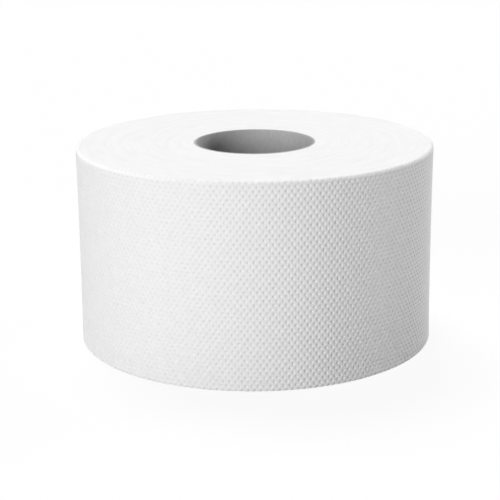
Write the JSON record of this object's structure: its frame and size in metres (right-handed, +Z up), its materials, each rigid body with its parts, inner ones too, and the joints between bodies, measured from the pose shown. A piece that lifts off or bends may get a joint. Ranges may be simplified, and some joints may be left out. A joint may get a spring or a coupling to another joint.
{
  "type": "toilet paper roll",
  "caption": "Wide short roll of white embossed toilet paper wound on a grey board core. It stands on its end or hangs on a dispenser's spindle.",
  "frame": {"origin": "on the core's axis, in the lower end face that the roll stands on", "axes": "+Z up along the core's axis, -Y toward the side that the picture shows, +X to the right there"},
  "size_m": [0.1799, 0.1796, 0.1],
  "materials": {
    "tissue": "matte white tissue with fine round dimples in staggered rows",
    "core_board": "matte grey board"
  },
  "bodies": {
    "root": {"paper_roll": "tissue", "core_tube": "core_board"}
  },
  "joints": []
}
